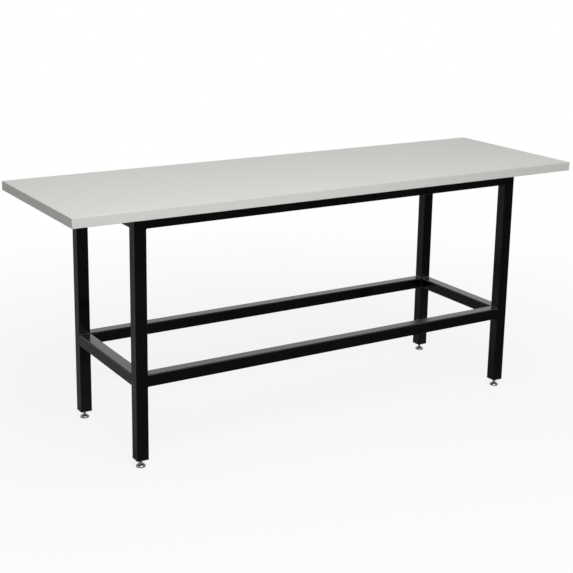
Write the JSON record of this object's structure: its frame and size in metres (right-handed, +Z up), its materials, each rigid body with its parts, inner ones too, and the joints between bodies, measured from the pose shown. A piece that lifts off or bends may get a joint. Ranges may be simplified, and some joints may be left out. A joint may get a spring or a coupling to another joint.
{
  "type": "standing meeting table",
  "caption": "Standing-height meeting table: a long laminated top on a welded square-tube frame with a foot rail all round and screw-adjusted levelling feet.",
  "frame": {"origin": "on the floor, under the middle of the top", "axes": "+X along the length of the top, +Y from front to back, +Z up"},
  "size_m": [2.4, 0.75, 1.05],
  "materials": {
    "board": "bare chipboard, hidden under the sheets and bands",
    "laminate": "pale grey decorative laminate, fine satin texture",
    "backing_sheet": "plain grey balancing laminate, matt",
    "edge_band": "pale grey plastic edge band with scraped round arrises",
    "powder_coated_steel": "black powder coat, semi-gloss with slight orange peel",
    "zinc_steel": "bright zinc-plated steel",
    "insert_plastic": "moulded black plastic",
    "pad_plastic": "moulded natural nylon"
  },
  "bodies": {
    "table": {"top_core": "board", "top_laminate": "laminate", "underside_sheet": "backing_sheet", "edge_band_front": "edge_band", "edge_band_back": "edge_band", "edge_band_left_end": "edge_band", "edge_band_right_end": "edge_band", "upper_rail_front": "powder_coated_steel", "upper_rail_back": "powder_coated_steel", "upper_rail_left": "powder_coated_steel", "upper_rail_right": "powder_coated_steel", "foot_rail_front": "powder_coated_steel", "foot_rail_back": "powder_coated_steel", "foot_rail_left": "powder_coated_steel", "foot_rail_right": "powder_coated_steel", "leg_front_left": "powder_coated_steel", "upper_weld_front_left": "powder_coated_steel", "foot_rail_weld_front_left": "powder_coated_steel", "leg_insert_front_left": "insert_plastic", "captive_nut_front_left": "zinc_steel", "lock_nut_front_left": "zinc_steel", "leg_front_right": "powder_coated_steel", "upper_weld_front_right": "powder_coated_steel", "foot_rail_weld_front_right": "powder_coated_steel", "leg_insert_front_right": "insert_plastic", "captive_nut_front_right": "zinc_steel", "lock_nut_front_right": "zinc_steel", "leg_back_left": "powder_coated_steel", "upper_weld_back_left": "powder_coated_steel", "foot_rail_weld_back_left": "powder_coated_steel", "leg_insert_back_left": "insert_plastic", "captive_nut_back_left": "zinc_steel", "lock_nut_back_left": "zinc_steel", "leg_back_right": "powder_coated_steel", "upper_weld_back_right": "powder_coated_steel", "foot_rail_weld_back_right": "powder_coated_steel", "leg_insert_back_right": "insert_plastic", "captive_nut_back_right": "zinc_steel", "lock_nut_back_right": "zinc_steel", "top_cleats": "powder_coated_steel", "cleat_welds": "powder_coated_steel", "top_screws": "zinc_steel"},
    "foot_front_left": {"foot_base_front_left": "zinc_steel", "foot_pad_front_left": "pad_plastic"},
    "stud_front_left": {"foot_stud_front_left": "zinc_steel"},
    "foot_front_right": {"foot_base_front_right": "zinc_steel", "foot_pad_front_right": "pad_plastic"},
    "stud_front_right": {"foot_stud_front_right": "zinc_steel"},
    "foot_back_left": {"foot_base_back_left": "zinc_steel", "foot_pad_back_left": "pad_plastic"},
    "stud_back_left": {"foot_stud_back_left": "zinc_steel"},
    "foot_back_right": {"foot_base_back_right": "zinc_steel", "foot_pad_back_right": "pad_plastic"},
    "stud_back_right": {"foot_stud_back_right": "zinc_steel"}
  },
  "joints": [
    {"name": "foot_travel_front_left", "type": "slide", "parent": "table", "child": "foot_front_left", "axis": [0, 0, -1], "range_m": [-0.009, 0.015]},
    {"name": "stud_turn_front_left", "type": "hinge", "parent": "foot_front_left", "child": "stud_front_left", "pos_m": [-0.905, -0.285, 0.012], "axis": [0, 0, -1], "range_deg": [-2180, 3620]},
    {"name": "foot_travel_front_right", "type": "slide", "parent": "table", "child": "foot_front_right", "axis": [0, 0, -1], "range_m": [-0.009, 0.015]},
    {"name": "stud_turn_front_right", "type": "hinge", "parent": "foot_front_right", "child": "stud_front_right", "pos_m": [0.905, -0.285, 0.012], "axis": [0, 0, -1], "range_deg": [-2180, 3620]},
    {"name": "foot_travel_back_left", "type": "slide", "parent": "table", "child": "foot_back_left", "axis": [0, 0, -1], "range_m": [-0.009, 0.015]},
    {"name": "stud_turn_back_left", "type": "hinge", "parent": "foot_back_left", "child": "stud_back_left", "pos_m": [-0.905, 0.285, 0.012], "axis": [0, 0, -1], "range_deg": [-2180, 3620]},
    {"name": "foot_travel_back_right", "type": "slide", "parent": "table", "child": "foot_back_right", "axis": [0, 0, -1], "range_m": [-0.009, 0.015]},
    {"name": "stud_turn_back_right", "type": "hinge", "parent": "foot_back_right", "child": "stud_back_right", "pos_m": [0.905, 0.285, 0.012], "axis": [0, 0, -1], "range_deg": [-2180, 3620]}
  ],
  "couplings": [
    {"joint": "stud_turn_front_left", "follows": "foot_travel_front_left", "rad_per_m": 4188.8},
    {"joint": "stud_turn_front_right", "follows": "foot_travel_front_right", "rad_per_m": 4188.8},
    {"joint": "stud_turn_back_left", "follows": "foot_travel_back_left", "rad_per_m": 4188.8},
    {"joint": "stud_turn_back_right", "follows": "foot_travel_back_right", "rad_per_m": 4188.8}
  ]
}
